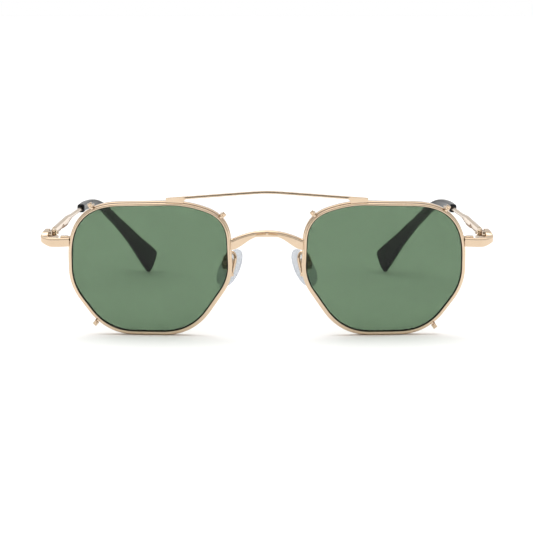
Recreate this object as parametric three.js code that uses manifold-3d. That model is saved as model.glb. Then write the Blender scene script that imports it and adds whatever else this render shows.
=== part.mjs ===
// Metal spectacle frame with a claw-held clip-on sun front, modelled in millimetres.
// +X is to the right of someone facing the front, +Y runs back along the temples and +Z is up.
// The front leans forward at the top, and its two eyes curve and wrap like a real front.

import * as THREE from 'three';
import { mergeVertices } from 'three/addons/utils/BufferGeometryUtils.js';
import Module from 'manifold-3d';

const wasm = await Module();
wasm.setup();

// ---------------------------------------------------------------- driving dimensions

const EYE_CENTRE_X = 36.5;
const EYE_CENTRE_Z = 21.25;
// Corners of the eye shape about its centre: across towards the nose, up, and the length rounded off.
const EYE_CORNERS = [
  [-25.95, 20.1, 16.9],
  [-25.95, -6.25, 5.8],
  [-14.25, -21.95, 9.05],
  [13.4, -21.95, 9.75],
  [25.8, -3.7, 4.85],
  [25.1, 16.4, 8.0],
  [11.2, 21.2, 6.15],
];
const CORNER_STEPS = 5;
const STRAIGHT_STEPS = 3;

const FRONT_TILT = THREE.MathUtils.degToRad(4);
const FACE_WRAP = THREE.MathUtils.degToRad(4);
const WRAP_FLAT = 8;
const LENS_RADIUS = 160;

// The clip's rims are smaller than the main rims all round, and stand a little higher.
const CLIP_INSET = 0.6;
const CLIP_RISE = 0.35;
const CLIP_RIM_WIDTH = 0.66;
const CLIP_RIM_DEPTH = 1.3;
const SUN_LENS_EDGE = [0.22, 1.08];
const MAIN_RIM_FRONT = 2.0;
const MAIN_RIM_WIDTH = 0.9;
const MAIN_RIM_DEPTH = 2.2;
const CLEAR_LENS_EDGE = [2.45, 3.95];
const RIM_CHAMFER = 0.18;
const GROOVE_DEPTH = 0.4;
const GROOVE_HALF = 0.4;
const BEVEL_HALF = 0.26;
const FIT_GAP = 0.12;
const JOIN_GAP = 0.25;
const LENS_RINGS = [1, 0.68, 0.34];

const BRIDGE_HALF_SPAN = 10.88;
const BRIDGE_TOP = 33.2;
const BRIDGE_TOP_RADIUS = 21;
const BRIDGE_UNDERSIDE = 31.25;
const BRIDGE_PAD_DROP = 4.3;
const BRIDGE_PAD_START = 2.6;
const BRIDGE_PAD_END = 11.4;
const BRIDGE_FRONT = 1.6;
const BRIDGE_BOW = 0.8;
const BRIDGE_DEPTH = 1.5;
const BRIDGE_BEVEL = 0.6;
const BRIDGE_STEPS = 18;

const BROW_MIDDLE = 45.29;
const BROW_SLOPE = 0.075;
const BROW_CROWN = 3;
const BROW_HALF_SPAN = 31.4;
const BROW_THICKNESS = 0.84;
const BROW_STRAIGHT = 26;
const BROW_TAB_LENGTH = 5.6;
const BROW_TAB_STEP = 0.5;
const BROW_DEPTH = [0.15, 1.1];
const BROW_STEPS = 44;

// Places of the claws round each eye, in the eye's own axes, each on the outward side of the outline.
const CLAW_SPOTS = {
  left: [[22.6, 16.9], [-18.7, 19.4], [-16.9, -17.8]],
  right: [[22.1, 17.2], [-19.5, 18.4], [-16.4, -18.6]],
};
const CLAW_NAMES = ['nasal', 'temporal', 'lower'];
const CLAW_WIDTH = 1.3;
const CLAW_REACH = 1.95;
const CLAW_PRONG = 0.55;
const CLAW_HEAD = 1.2;
const CLAW_LENGTH = 4.9;

const END_BAND_THICKNESS = 1.25;
const END_BAND_HEIGHT = 2.8;
const END_BLOCK = [[66.3, 9.5], [69.3, 10.3], [70.6, 11.8], [70.6, 13.6], [66.3, 13.6]];
const END_BLOCK_LEVELS = [27.45, 29.75];
const END_STEPS = 16;
const LOCK_WIDTH = 2.4;
const LOCK_DEPTH = 1.9;
const LOCK_HEIGHT = 1.3;
const LOCK_BORE = 0.45;
const LOCK_CENTRE = [63.9, 4.5, 28.75];
const LOCK_SCREW_RADIUS = 0.33;
const LOCK_HEAD_RADIUS = 0.7;
const LOCK_HEAD_HEIGHT = 0.43;
const SPLIT_GAP = 0.3;
const SLOT_HALF_WIDTH = 0.12;
const SLOT_DEPTH = 0.2;

const HINGE_AXIS = [68.1, 16.3, 31.0];
const BARREL_RADIUS = 1.1;
const BARREL_BORE = 0.55;
const BARREL_LEVELS = [-1.1, -0.46, -0.36, 0.36, 0.46, 1.1];
const PIN_RADIUS = 0.42;
const PIN_HEAD_RADIUS = 0.75;
const PIN_HEAD_HEIGHT = 0.35;
const RUNNING_GAP = 0.1;
const PLATE_INNER = 0.25;
const PLATE_LENGTH = 4.4;
const PLATE_SETBACK = 0.3;
const LEAF_THICKNESS = 0.55;
const LEAF_LENGTH = 4.6;

const TEMPLE_START = 17.85;
const TEMPLE_THICKNESS = 1.4;
const WIRE_SIZE = 1.25;
const TIP_START = 78;
const WIRE_END = 88;
const TIP_BORE_END = 89;
const TIP_BORE_RADIUS = 0.85;
const TIP_BORE_CENTRE = [65.8, 32.06];
const TIP_STEPS = 26;
const TIP_SIDES = 8;
const TIP_FULLNESS = 1.08;
const TIP_SLANT = 0.2;
const TIP_SLANT_START = 0.7;

const PAD_LONG_AXIS = [-0.487, 0.05, -0.872];
const PAD_WIDTH_AXIS = [-0.658, 0.656, 0.367];
const PAD_LENGTH = 13.4;
const PAD_WIDTH = 7.4;
const PAD_THICKNESS = 2.0;
const PAD_EDGE = 0.5;
const PAD_TAPER = 0.12;
const PAD_SIDES = 20;
const PAD_OFFSET = 1.2;
const CUP_CENTRE = [-12.2, 9.6, 21.4];
const CUP_RADIUS = 2.1;
const CUP_WALL = 0.5;
const CUP_BACK = -1.0;
const CUP_MOUTH = 0.85;
const PAD_FACE = 1.3;
const BOSS_RADIUS = 1.05;
const BOSS_END = -0.15;
const PAD_SCREW_LEVEL = 0.3;
const PAD_SCREW_RADIUS = 0.34;
const PAD_HEAD_RADIUS = 0.7;
const PAD_HEAD_HEIGHT = 0.4;
const PAD_BORE_RADIUS = 0.5;
const PAD_BORE_LENGTH = 6;
const ARM_RADIUS = 0.5;
const ARM_STEPS = 20;

// ---------------------------------------------------------------- materials

function metal(name) {
  return new THREE.MeshStandardMaterial({ name, color: 0xe8bf94, metalness: 1, roughness: 0.25 });
}

function darkPlastic() {
  return new THREE.MeshStandardMaterial({ name: 'tip_black', color: 0x101314, roughness: 0.2 });
}

function seeThrough(name, color, opacity) {
  return new THREE.MeshStandardMaterial({ name, color, opacity, transparent: true, roughness: 0.05 });
}

// ---------------------------------------------------------------- solids

const model = new THREE.Group();
const front = new THREE.Group();
front.rotation.x = FRONT_TILT;
model.add(front);

function addPart(parent, name, geometry, material) {
  const mesh = new THREE.Mesh(geometry, material);
  mesh.name = name;
  parent.add(mesh);
  return mesh;
}

function bareGeometry(positions, indices) {
  const geometry = new THREE.BufferGeometry();
  geometry.setAttribute('position', new THREE.Float32BufferAttribute(positions, 3));
  geometry.setIndex(indices);
  geometry.computeVertexNormals();
  return geometry;
}

function signedVolume(points, indices) {
  let six = 0;
  for (let i = 0; i < indices.length; i += 3) {
    const [a, b, c] = [points[indices[i]], points[indices[i + 1]], points[indices[i + 2]]];
    six += a.dot(new THREE.Vector3().crossVectors(b, c));
  }
  return six / 6;
}

// Joins rings of equally many points into one closed body: round again, or with a flat end on each side.
function loft(rings, closed = false) {
  const count = rings[0].length;
  const points = rings.flat();
  const indices = [];
  const spans = closed ? rings.length : rings.length - 1;
  for (let r = 0; r < spans; r += 1) {
    const near = r * count;
    const far = ((r + 1) % rings.length) * count;
    for (let k = 0; k < count; k += 1) {
      const next = (k + 1) % count;
      indices.push(near + k, near + next, far + next);
      indices.push(near + k, far + next, far + k);
    }
  }
  if (!closed) {
    const lastBase = (rings.length - 1) * count;
    for (const [ring, base, flip] of [[rings[0], 0, true], [rings.at(-1), lastBase, false]]) {
      const middle = ring.reduce((sum, p) => sum.add(p), new THREE.Vector3()).divideScalar(count);
      points.push(middle);
      for (let k = 0; k < count; k += 1) {
        const pair = [base + k, base + (k + 1) % count];
        if (flip) pair.reverse();
        indices.push(pair[0], pair[1], points.length - 1);
      }
    }
  }
  if (signedVolume(points, indices) < 0) indices.reverse();
  return bareGeometry(points.flatMap((p) => [p.x, p.y, p.z]), indices);
}

function toSolid(geometry) {
  const bare = geometry.clone();
  bare.deleteAttribute('normal');
  bare.deleteAttribute('uv');
  const merged = mergeVertices(bare, 1e-4);
  return new wasm.Manifold(new wasm.Mesh({
    numProp: 3,
    vertProperties: new Float32Array(merged.attributes.position.array),
    triVerts: new Uint32Array(merged.index.array),
  }));
}

function toGeometry(solid) {
  const mesh = solid.getMesh();
  return bareGeometry(Array.from(mesh.vertProperties), Array.from(mesh.triVerts));
}

function join(first, ...others) {
  return toGeometry(others.reduce((sum, g) => sum.add(toSolid(g)), toSolid(first)));
}

function cut(first, ...others) {
  return toGeometry(others.reduce((rest, g) => rest.subtract(toSolid(g)), toSolid(first)));
}

function box(low, high) {
  const size = high.map((v, i) => v - low[i]);
  const middle = high.map((v, i) => (v + low[i]) / 2);
  return new THREE.BoxGeometry(...size).translate(...middle);
}

// A round bar between two heights on the Z axis.
function upright(radius, low, high, sides = 16) {
  const bar = new THREE.CylinderGeometry(radius, radius, high - low, sides);
  return bar.rotateX(Math.PI / 2).translate(0, 0, (low + high) / 2);
}

function wire(points, radius, sides, steps) {
  const section = new THREE.Shape();
  for (let k = 0; k < sides; k += 1) {
    const angle = (2 * Math.PI * k) / sides;
    const corner = [radius * Math.cos(angle), radius * Math.sin(angle)];
    if (k === 0) section.moveTo(...corner);
    else section.lineTo(...corner);
  }
  section.closePath();
  const path = new THREE.CatmullRomCurve3(points);
  return new THREE.ExtrudeGeometry(section, { steps, bevelEnabled: false, extrudePath: path });
}

// ---------------------------------------------------------------- the curve of the front

function bendDepth(x, z) {
  const fromEye = Math.abs(x) - EYE_CENTRE_X;
  const wrap = (Math.hypot(x, WRAP_FLAT) - WRAP_FLAT) * Math.tan(FACE_WRAP);
  return wrap + (fromEye ** 2 + (z - EYE_CENTRE_Z) ** 2) / (2 * LENS_RADIUS);
}

// A point of the flat front drawing, moved back onto the curved front.
function onFront(x, y, z) {
  return new THREE.Vector3(x, y + bendDepth(x, z), z);
}

function smooth(from, to, value) {
  return THREE.MathUtils.smoothstep(value, from, to);
}

// ---------------------------------------------------------------- the eye outline

// Stations round the eye, each with its place and outward direction in the eye's own axes.
function eyeStations() {
  const corners = EYE_CORNERS.map(([across, up]) => new THREE.Vector2(across, up));
  const bends = corners.map((corner, i) => {
    const reach = EYE_CORNERS[i][2];
    const before = corners.at(i - 1).clone().sub(corner).setLength(reach);
    const after = corners[(i + 1) % corners.length].clone().sub(corner).setLength(reach);
    return new THREE.QuadraticBezierCurve(before.add(corner), corner, after.add(corner));
  });
  const stations = [];
  const addStation = (place, along) => {
    const outward = new THREE.Vector2(along.y, -along.x).normalize();
    if (outward.dot(place) < 0) outward.negate();
    stations.push({ place, outward });
  };
  bends.forEach((bend, i) => {
    for (let k = 0; k <= CORNER_STEPS; k += 1) {
      addStation(bend.getPoint(k / CORNER_STEPS), bend.getTangent(k / CORNER_STEPS));
    }
    const straight = bends[(i + 1) % bends.length].v0.clone().sub(bend.v2);
    for (let k = 1; k < STRAIGHT_STEPS; k += 1) {
      addStation(bend.v2.clone().addScaledVector(straight, k / STRAIGHT_STEPS), straight);
    }
  });
  return stations;
}

// The stations of the clip's smaller outline, which follows the main one.
function clipStations() {
  return MAIN_STATIONS.map(({ place, outward }) => {
    const inside = place.clone().addScaledVector(outward, -CLIP_INSET);
    return { place: inside.add(new THREE.Vector2(0, CLIP_RISE)), outward };
  });
}

const MAIN_STATIONS = eyeStations();
const CLIP_STATIONS = clipStations();

// The height of the clip's outline above the eye's centre, at a place across its upper side.
function clipTop(across) {
  let height = 0;
  CLIP_STATIONS.forEach(({ place: from }, i) => {
    const { place: to } = CLIP_STATIONS[(i + 1) % CLIP_STATIONS.length];
    const share = (across - from.x) / (to.x - from.x);
    if (share >= 0 && share <= 1) height = Math.max(height, THREE.MathUtils.lerp(from.y, to.y, share));
  });
  return height;
}

// The point of one station, `out` beyond the outline and `depth` behind the clip's front face.
function eyePoint(side, { place, outward }, out, depth, scale = 1) {
  const across = (place.x + outward.x * out) * scale;
  const up = (place.y + outward.y * out) * scale;
  return onFront(side * (EYE_CENTRE_X - across), depth, EYE_CENTRE_Z + up);
}

// A rim whose section is a chamfered bar with a V groove inside for the lens.
function rim(side, stations, frontFace, width, depth, groove) {
  const back = frontFace + depth;
  const section = [
    [0, frontFace + RIM_CHAMFER], [0, back - RIM_CHAMFER], [-RIM_CHAMFER, back], [-width, back],
    [-width, groove + GROOVE_HALF], [-width + GROOVE_DEPTH, groove], [-width, groove - GROOVE_HALF],
    [-width, frontFace], [-RIM_CHAMFER, frontFace],
  ];
  return loft(stations.map((s) => section.map(([out, y]) => eyePoint(side, s, out, y))), true);
}

// A curved lens with a bevelled edge that stands in the rim's groove.
function lens(side, stations, [frontFace, backFace], width) {
  const middle = (frontFace + backFace) / 2;
  const flank = -width - FIT_GAP;
  const ring = (out, y, scale) => stations.map((s) => eyePoint(side, s, out, y, scale));
  const rings = [
    ...LENS_RINGS.toReversed().map((scale) => ring(flank, frontFace, scale)),
    ring(flank, middle - BEVEL_HALF, 1),
    ring(-width + GROOVE_DEPTH - FIT_GAP * 1.5, middle, 1),
    ring(flank, middle + BEVEL_HALF, 1),
    ...LENS_RINGS.map((scale) => ring(flank, backFace, scale)),
  ];
  return loft(rings);
}

// ---------------------------------------------------------------- bridge and brow bar

// A bar across the front, with a function of x for its section. It follows the front's curve
// outside `straight`, and runs straight across between the two eyes inside it.
function crossBar(halfSpan, straight, steps, section) {
  const rings = [];
  for (let k = 0; k <= steps; k += 1) {
    const x = halfSpan * ((2 * k) / steps - 1);
    const follow = Math.max(Math.abs(x), straight);
    rings.push(section(x).map(([y, z]) => new THREE.Vector3(x, y + bendDepth(follow, z), z)));
  }
  return loft(rings);
}

function bridgeSection(x) {
  const top = BRIDGE_TOP - x ** 2 / (2 * BRIDGE_TOP_RADIUS);
  const drop = smooth(BRIDGE_PAD_START, BRIDGE_PAD_END, Math.abs(x));
  const bottom = BRIDGE_UNDERSIDE - BRIDGE_PAD_DROP * drop;
  const bow = BRIDGE_BOW * (1 - (x / BRIDGE_HALF_SPAN) ** 2);
  const face = BRIDGE_FRONT - bow;
  const back = face + BRIDGE_DEPTH;
  const bevel = BRIDGE_BEVEL;
  return [
    [face, bottom + bevel / 3], [face, top - bevel],
    [face + bevel, top], [back - bevel / 2, top],
    [back, top - bevel / 2], [back, bottom + bevel / 3],
    [back - bevel / 3, bottom], [face + bevel / 3, bottom],
  ];
}

function browSection(x) {
  const reach = BROW_HALF_SPAN - Math.abs(x);
  const tab = 1 - smooth(BROW_TAB_LENGTH - BROW_TAB_STEP, BROW_TAB_LENGTH + BROW_TAB_STEP, reach);
  const middle = BROW_MIDDLE - BROW_SLOPE * (Math.hypot(x, BROW_CROWN) - BROW_CROWN);
  const top = middle + BROW_THICKNESS / 2;
  const foot = EYE_CENTRE_Z + clipTop(EYE_CENTRE_X - Math.abs(x)) + FIT_GAP;
  const bottom = tab > 0 ? THREE.MathUtils.lerp(middle - BROW_THICKNESS / 2, foot, tab) : middle - BROW_THICKNESS / 2;
  const [face, back] = BROW_DEPTH;
  const round = BROW_THICKNESS / 4;
  return [
    [face, bottom + round], [face, top - round], [face + round, top], [back - round, top],
    [back, top - round], [back, bottom + round], [back - round, bottom], [face + round, bottom],
  ];
}

// ---------------------------------------------------------------- claws

// The place on the clip's outline nearest to a spot, with the outward direction there.
function nearestPlace([across, up]) {
  const spot = new THREE.Vector2(across, up);
  let best = CLIP_STATIONS[0];
  CLIP_STATIONS.forEach((from, i) => {
    const to = CLIP_STATIONS[(i + 1) % CLIP_STATIONS.length];
    const span = to.place.clone().sub(from.place);
    const share = THREE.MathUtils.clamp(spot.clone().sub(from.place).dot(span) / span.lengthSq(), 0, 1);
    const place = from.place.clone().addScaledVector(span, share);
    const outward = from.outward.clone().lerp(to.outward, share).normalize();
    if (place.distanceTo(spot) < best.place.distanceTo(spot)) best = { place, outward };
  });
  return best;
}

// An L-shaped claw: a square head beside the clip rim, and a prong that runs back past the main rim.
function claw(side, spot) {
  const { place, outward } = nearestPlace(spot);
  const prong = CLIP_INSET - CLIP_RISE * outward.y + JOIN_GAP;
  const profile = new THREE.Shape();
  profile.moveTo(JOIN_GAP, 0);
  profile.lineTo(CLAW_REACH, 0);
  profile.lineTo(CLAW_REACH, CLAW_HEAD);
  profile.lineTo(prong + CLAW_PRONG, CLAW_HEAD + CLAW_PRONG);
  profile.lineTo(prong + CLAW_PRONG, CLAW_LENGTH);
  profile.lineTo(prong, CLAW_LENGTH);
  profile.lineTo(prong, CLAW_HEAD);
  profile.lineTo(JOIN_GAP, CLAW_HEAD);
  profile.closePath();
  const geometry = new THREE.ExtrudeGeometry(profile, { depth: CLAW_WIDTH, bevelEnabled: false });
  geometry.translate(0, 0, -CLAW_WIDTH / 2);
  const out = new THREE.Vector3(-side * outward.x, 0, outward.y);
  const back = new THREE.Vector3(0, 1, 0);
  const along = new THREE.Vector3().crossVectors(out, back);
  const root = onFront(side * (EYE_CENTRE_X - place.x), 0, EYE_CENTRE_Z + place.y);
  return geometry.applyMatrix4(new THREE.Matrix4().makeBasis(out, back, along).setPosition(root));
}

// ---------------------------------------------------------------- end pieces and rim locks

// The band that leaves the rim, wraps round a solid corner block and climbs back to the hinge.
function endPiece(side) {
  const path = new THREE.CatmullRomCurve3([
    onFront(62.68, 2.3, 28.7), onFront(66.3, 2.3, 28.35), onFront(69.4, 2.5, 28.3),
    onFront(71.0, 4.2, 28.65), new THREE.Vector3(70.8, 14.9, 29.4), new THREE.Vector3(70.45, 18.7, 29.6),
  ]);
  const rings = [];
  for (let k = 0; k <= END_STEPS; k += 1) {
    const along = path.getTangentAt(k / END_STEPS);
    const out = new THREE.Vector3(along.y, -along.x, 0).normalize();
    const up = new THREE.Vector3(0, 0, 1);
    const middle = path.getPointAt(k / END_STEPS);
    const halfHeight = END_BAND_HEIGHT / 2;
    const half = END_BAND_THICKNESS / 2;
    const bevel = END_BAND_THICKNESS / 3;
    const corners = [
      [half, bevel - halfHeight], [half, halfHeight - bevel], [half - bevel, halfHeight],
      [-half, halfHeight], [-half, -halfHeight], [half - bevel, -halfHeight],
    ];
    rings.push(corners.map(([o, u]) => {
      const p = middle.clone().addScaledVector(out, o).addScaledVector(up, u);
      return new THREE.Vector3(side * p.x, p.y, p.z);
    }));
  }
  const outline = new THREE.Shape(END_BLOCK.map(([x, y]) => new THREE.Vector2(side * x, y)));
  const [low, high] = END_BLOCK_LEVELS;
  const block = new THREE.ExtrudeGeometry(outline, { depth: high - low, bevelEnabled: false });
  return join(loft(rings), block.translate(0, 0, low));
}

function lockMiddle(side) {
  const [x, y, z] = LOCK_CENTRE;
  return onFront(side * x, y, z);
}

// One half of the block that closes the rim round its lens, bored for the closing screw.
function lockBlock(side, level) {
  const [halfWidth, halfDepth] = [LOCK_WIDTH / 2, LOCK_DEPTH / 2];
  const low = level > 0 ? SPLIT_GAP / 2 : -SPLIT_GAP / 2 - LOCK_HEIGHT;
  const block = box([-halfWidth, -halfDepth, low], [halfWidth, halfDepth, low + LOCK_HEIGHT]);
  const bore = upright(LOCK_BORE, low - 1, low + LOCK_HEIGHT + 1, 12);
  return cut(block, bore).translate(...lockMiddle(side).toArray());
}

function lockScrew(side) {
  const reach = LOCK_HEIGHT + SPLIT_GAP / 2;
  const headTop = -reach - RUNNING_GAP;
  const headEnd = headTop - LOCK_HEAD_HEIGHT;
  const shank = upright(LOCK_SCREW_RADIUS, headTop - LOCK_HEAD_HEIGHT / 2, reach, 12);
  const head = upright(LOCK_HEAD_RADIUS, headEnd, headTop, 12);
  const slot = box([-1, -SLOT_HALF_WIDTH, headEnd - 1], [1, SLOT_HALF_WIDTH, headEnd + SLOT_DEPTH]);
  return cut(join(shank, head), slot).translate(...lockMiddle(side).toArray());
}

// ---------------------------------------------------------------- hinges, about their own axes

// The half fixed to the front: two barrels on a plate that lies inside the end piece.
function hingeFront(side) {
  const [low, lowTop, , , highBottom, high] = BARREL_LEVELS;
  const plateEnd = -BARREL_RADIUS - PLATE_SETBACK;
  const lug = (from, to) => box([PLATE_INNER, plateEnd - RUNNING_GAP, from], [BARREL_RADIUS, 0, to]);
  const solid = join(
    box([PLATE_INNER, -PLATE_LENGTH, low], [BARREL_RADIUS, plateEnd, high]),
    lug(low, lowTop), lug(highBottom, high),
    upright(BARREL_RADIUS, low, lowTop), upright(BARREL_RADIUS, highBottom, high),
  );
  return mirrored(cut(solid, upright(BARREL_BORE, low - 1, high + 1)), side);
}

// The half fixed to the temple: one barrel between the other two, on a leaf along the temple's inner face.
function hingeRear(side) {
  const [, , low, high] = BARREL_LEVELS;
  const face = -TEMPLE_THICKNESS / 2 - JOIN_GAP;
  const leaf = box([face - LEAF_THICKNESS, 0, low], [face, LEAF_LENGTH, high]);
  const neck = box([face - LEAF_THICKNESS, 0, low], [0, BARREL_RADIUS, high]);
  const solid = join(upright(BARREL_RADIUS, low, high), leaf, neck);
  return mirrored(cut(solid, upright(BARREL_BORE, low - 1, high + 1)), side);
}

function hingeScrew() {
  const low = BARREL_LEVELS[0] + RUNNING_GAP;
  const seat = BARREL_LEVELS.at(-1) + RUNNING_GAP;
  const headTop = seat + PIN_HEAD_HEIGHT;
  const shank = upright(PIN_RADIUS, low, seat + PIN_HEAD_HEIGHT / 2);
  const head = upright(PIN_HEAD_RADIUS, seat, headTop);
  const slot = box([-1, -SLOT_HALF_WIDTH, headTop - SLOT_DEPTH], [1, SLOT_HALF_WIDTH, headTop + 1]);
  return cut(join(shank, head), slot);
}

// Turns a shape drawn for the right-hand side into the one for either side.
function mirrored(geometry, side) {
  if (side > 0) return geometry;
  const flipped = geometry.clone().scale(-1, 1, 1);
  flipped.setIndex(Array.from(flipped.index.array).toReversed());
  flipped.computeVertexNormals();
  return flipped;
}

// ---------------------------------------------------------------- temples and tips

// The line of the temple's bar: distance back, across, top edge, lower edge and thickness.
const TEMPLE_LINE = [
  [TEMPLE_START, 68.4, 32.7, 30.25, TEMPLE_THICKNESS],
  [44, 67.3, 33.3, 30.15, TEMPLE_THICKNESS],
  [47, 67.2, 33.25, 30.4, TEMPLE_THICKNESS],
  [56, 66.85, 32.85, 31.6, WIRE_SIZE],
  [TIP_START, 66.0, 32.68, 31.43, WIRE_SIZE],
  [WIRE_END, 65.6, 32.68, 31.43, WIRE_SIZE],
];

function temple(side) {
  const rings = TEMPLE_LINE.map(([y, x, top, bottom, thickness]) => {
    const bevel = Math.min(thickness, top - bottom) / 3.4;
    const half = thickness / 2;
    const corners = [
      [-half, bottom + bevel], [-half, top - bevel], [bevel - half, top], [half - bevel, top],
      [half, top - bevel], [half, bottom + bevel], [half - bevel, bottom], [bevel - half, bottom],
    ];
    return corners.map(([across, z]) => new THREE.Vector3(side * (x + across), y, z));
  });
  return loft(rings);
}

// The tip's centre line, from its mouth on the wire to its cut end on the table.
const TIP_PATH = [
  [66.0, TIP_START, 32.06], [65.4, 89, 32.01], [63.6, 99.5, 31.4], [61.2, 107.2, 29.2], [58.0, 116.9, 24.1],
  [53.9, 126.7, 17.6], [49.6, 134.2, 10.8], [45.1, 140.4, 3.95],
];
// Height and thickness of the tip's section along that line, from 0 at the mouth to 1 at the end.
const TIP_SECTIONS = [[0, 3.0, 2.6], [0.35, 3.2, 2.5], [0.6, 3.6, 2.6], [0.75, 4.9, 2.8], [1, 9.0, 2.9]];

function tipSize(share) {
  const next = Math.max(1, TIP_SECTIONS.findIndex(([at]) => at >= share));
  const [from, to] = [TIP_SECTIONS[next - 1], TIP_SECTIONS[next]];
  const blend = (share - from[0]) / (to[0] - from[0]);
  return [1, 2].map((i) => THREE.MathUtils.lerp(from[i], to[i], blend));
}

function templeTip(side) {
  const path = new THREE.CatmullRomCurve3(TIP_PATH.map((p) => new THREE.Vector3(...p)));
  const rings = [];
  for (let k = 0; k <= TIP_STEPS; k += 1) {
    const share = k / TIP_STEPS;
    const along = path.getTangentAt(share);
    const out = new THREE.Vector3(along.y, -along.x, 0).normalize();
    const up = new THREE.Vector3().crossVectors(out, along);
    const [height, thickness] = tipSize(share);
    const middle = path.getPointAt(share);
    const slant = TIP_SLANT * smooth(TIP_SLANT_START, 1, share);
    const ring = [];
    for (let c = 0; c < TIP_SIDES; c += 1) {
      const angle = (2 * Math.PI * (c + 0.5)) / TIP_SIDES;
      const across = (thickness / 2) * Math.cos(angle) * TIP_FULLNESS;
      const rise = (height / 2) * Math.sin(angle) * TIP_FULLNESS;
      const p = middle.clone().addScaledVector(out, across).addScaledVector(up, rise);
      p.addScaledVector(along, -rise * slant);
      ring.push(new THREE.Vector3(side * p.x, p.y, p.z));
    }
    rings.push(ring);
  }
  const bore = new THREE.CylinderGeometry(TIP_BORE_RADIUS, TIP_BORE_RADIUS, TIP_BORE_END - TIP_START + 2, 12);
  const lean = Math.atan2(TEMPLE_LINE.at(-2)[1] - TEMPLE_LINE.at(-1)[1], WIRE_END - TIP_START);
  const [across, level] = TIP_BORE_CENTRE;
  bore.rotateZ(side * lean).translate(side * across, (TIP_START + TIP_BORE_END) / 2 - 1, level);
  return cut(loft(rings), bore);
}

// ---------------------------------------------------------------- nose pads

// Axes of a pad: along it towards its lower end, across it towards the back, and out of its skin side.
function padAxes(side) {
  const mirror = ([x, y, z]) => new THREE.Vector3(-side * x, y, z).normalize();
  const long = mirror(PAD_LONG_AXIS);
  const wide = mirror(PAD_WIDTH_AXIS);
  const skin = new THREE.Vector3().crossVectors(long, wide).multiplyScalar(-side).normalize();
  const across = new THREE.Vector3().crossVectors(skin, long).normalize();
  return { long, across, skin };
}

// Places a shape drawn with the pad's length on X, its width on Y and its skin side up Z.
function placeAtCup(geometry, side) {
  const { long, across, skin } = padAxes(side);
  const [x, y, z] = CUP_CENTRE;
  const basis = new THREE.Matrix4().makeBasis(long, across, skin);
  return geometry.applyMatrix4(basis.setPosition(-side * x, y, z));
}

function padBore() {
  const bore = new THREE.CylinderGeometry(PAD_BORE_RADIUS, PAD_BORE_RADIUS, PAD_BORE_LENGTH, 12);
  return bore.translate(0, 0, PAD_SCREW_LEVEL);
}

function nosePad(side) {
  const outline = (scale, level) => {
    const ring = [];
    for (let k = 0; k < PAD_SIDES; k += 1) {
      const angle = (2 * Math.PI * k) / PAD_SIDES;
      const along = (PAD_LENGTH / 2) * Math.cos(angle) * scale;
      const wide = (PAD_WIDTH / 2) * Math.sin(angle) * scale * (1 + PAD_TAPER * Math.cos(angle));
      ring.push(new THREE.Vector3(PAD_OFFSET + along, wide, PAD_FACE + level));
    }
    return ring;
  };
  const shell = loft([
    outline(0.5, 0), outline(0.92, 0), outline(1, PAD_EDGE * 0.6), outline(0.96, PAD_EDGE * 1.6),
    outline(0.75, PAD_THICKNESS * 0.75), outline(0.35, PAD_THICKNESS),
  ]);
  const boss = upright(BOSS_RADIUS, BOSS_END, PAD_FACE + PAD_EDGE);
  return placeAtCup(cut(join(shell, boss), padBore()), side);
}

function padCup(side) {
  const outer = upright(CUP_RADIUS, CUP_BACK, CUP_MOUTH, 20);
  const hollow = upright(CUP_RADIUS - CUP_WALL, CUP_BACK + CUP_WALL, CUP_MOUTH + 1, 20);
  return placeAtCup(cut(outer, hollow, padBore()), side);
}

function padScrew(side) {
  const headMiddle = CUP_RADIUS + RUNNING_GAP + PAD_HEAD_HEIGHT / 2;
  const shank = new THREE.CylinderGeometry(PAD_SCREW_RADIUS, PAD_SCREW_RADIUS, CUP_RADIUS + headMiddle, 12);
  shank.translate(0, (-side * (headMiddle - CUP_RADIUS)) / 2, 0);
  const head = new THREE.CylinderGeometry(PAD_HEAD_RADIUS, PAD_HEAD_RADIUS, PAD_HEAD_HEIGHT, 12);
  head.translate(0, -side * headMiddle, 0);
  return placeAtCup(join(shank, head).translate(0, 0, PAD_SCREW_LEVEL), side);
}

// The wire that leaves the back of the rim, rises beside it and turns back into the pad's cup.
function padArm(side) {
  const points = [
    [11.3, 7.3, 19.5], [10.4, 7.3, 21.2], [9.95, 7.5, 23.6], [10.4, 7.8, 25.2], [11.6, 7.75, 25.5],
    [12.8, 7.6, 24.6], [13.45, 7.8, 23.2], [13.15, 8.4, 22.05],
  ];
  return wire(points.map(([x, y, z]) => new THREE.Vector3(side * x, y, z)), ARM_RADIUS, 8, ARM_STEPS);
}

// ---------------------------------------------------------------- assembly

const sides = [['left', -1], ['right', 1]];

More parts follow.
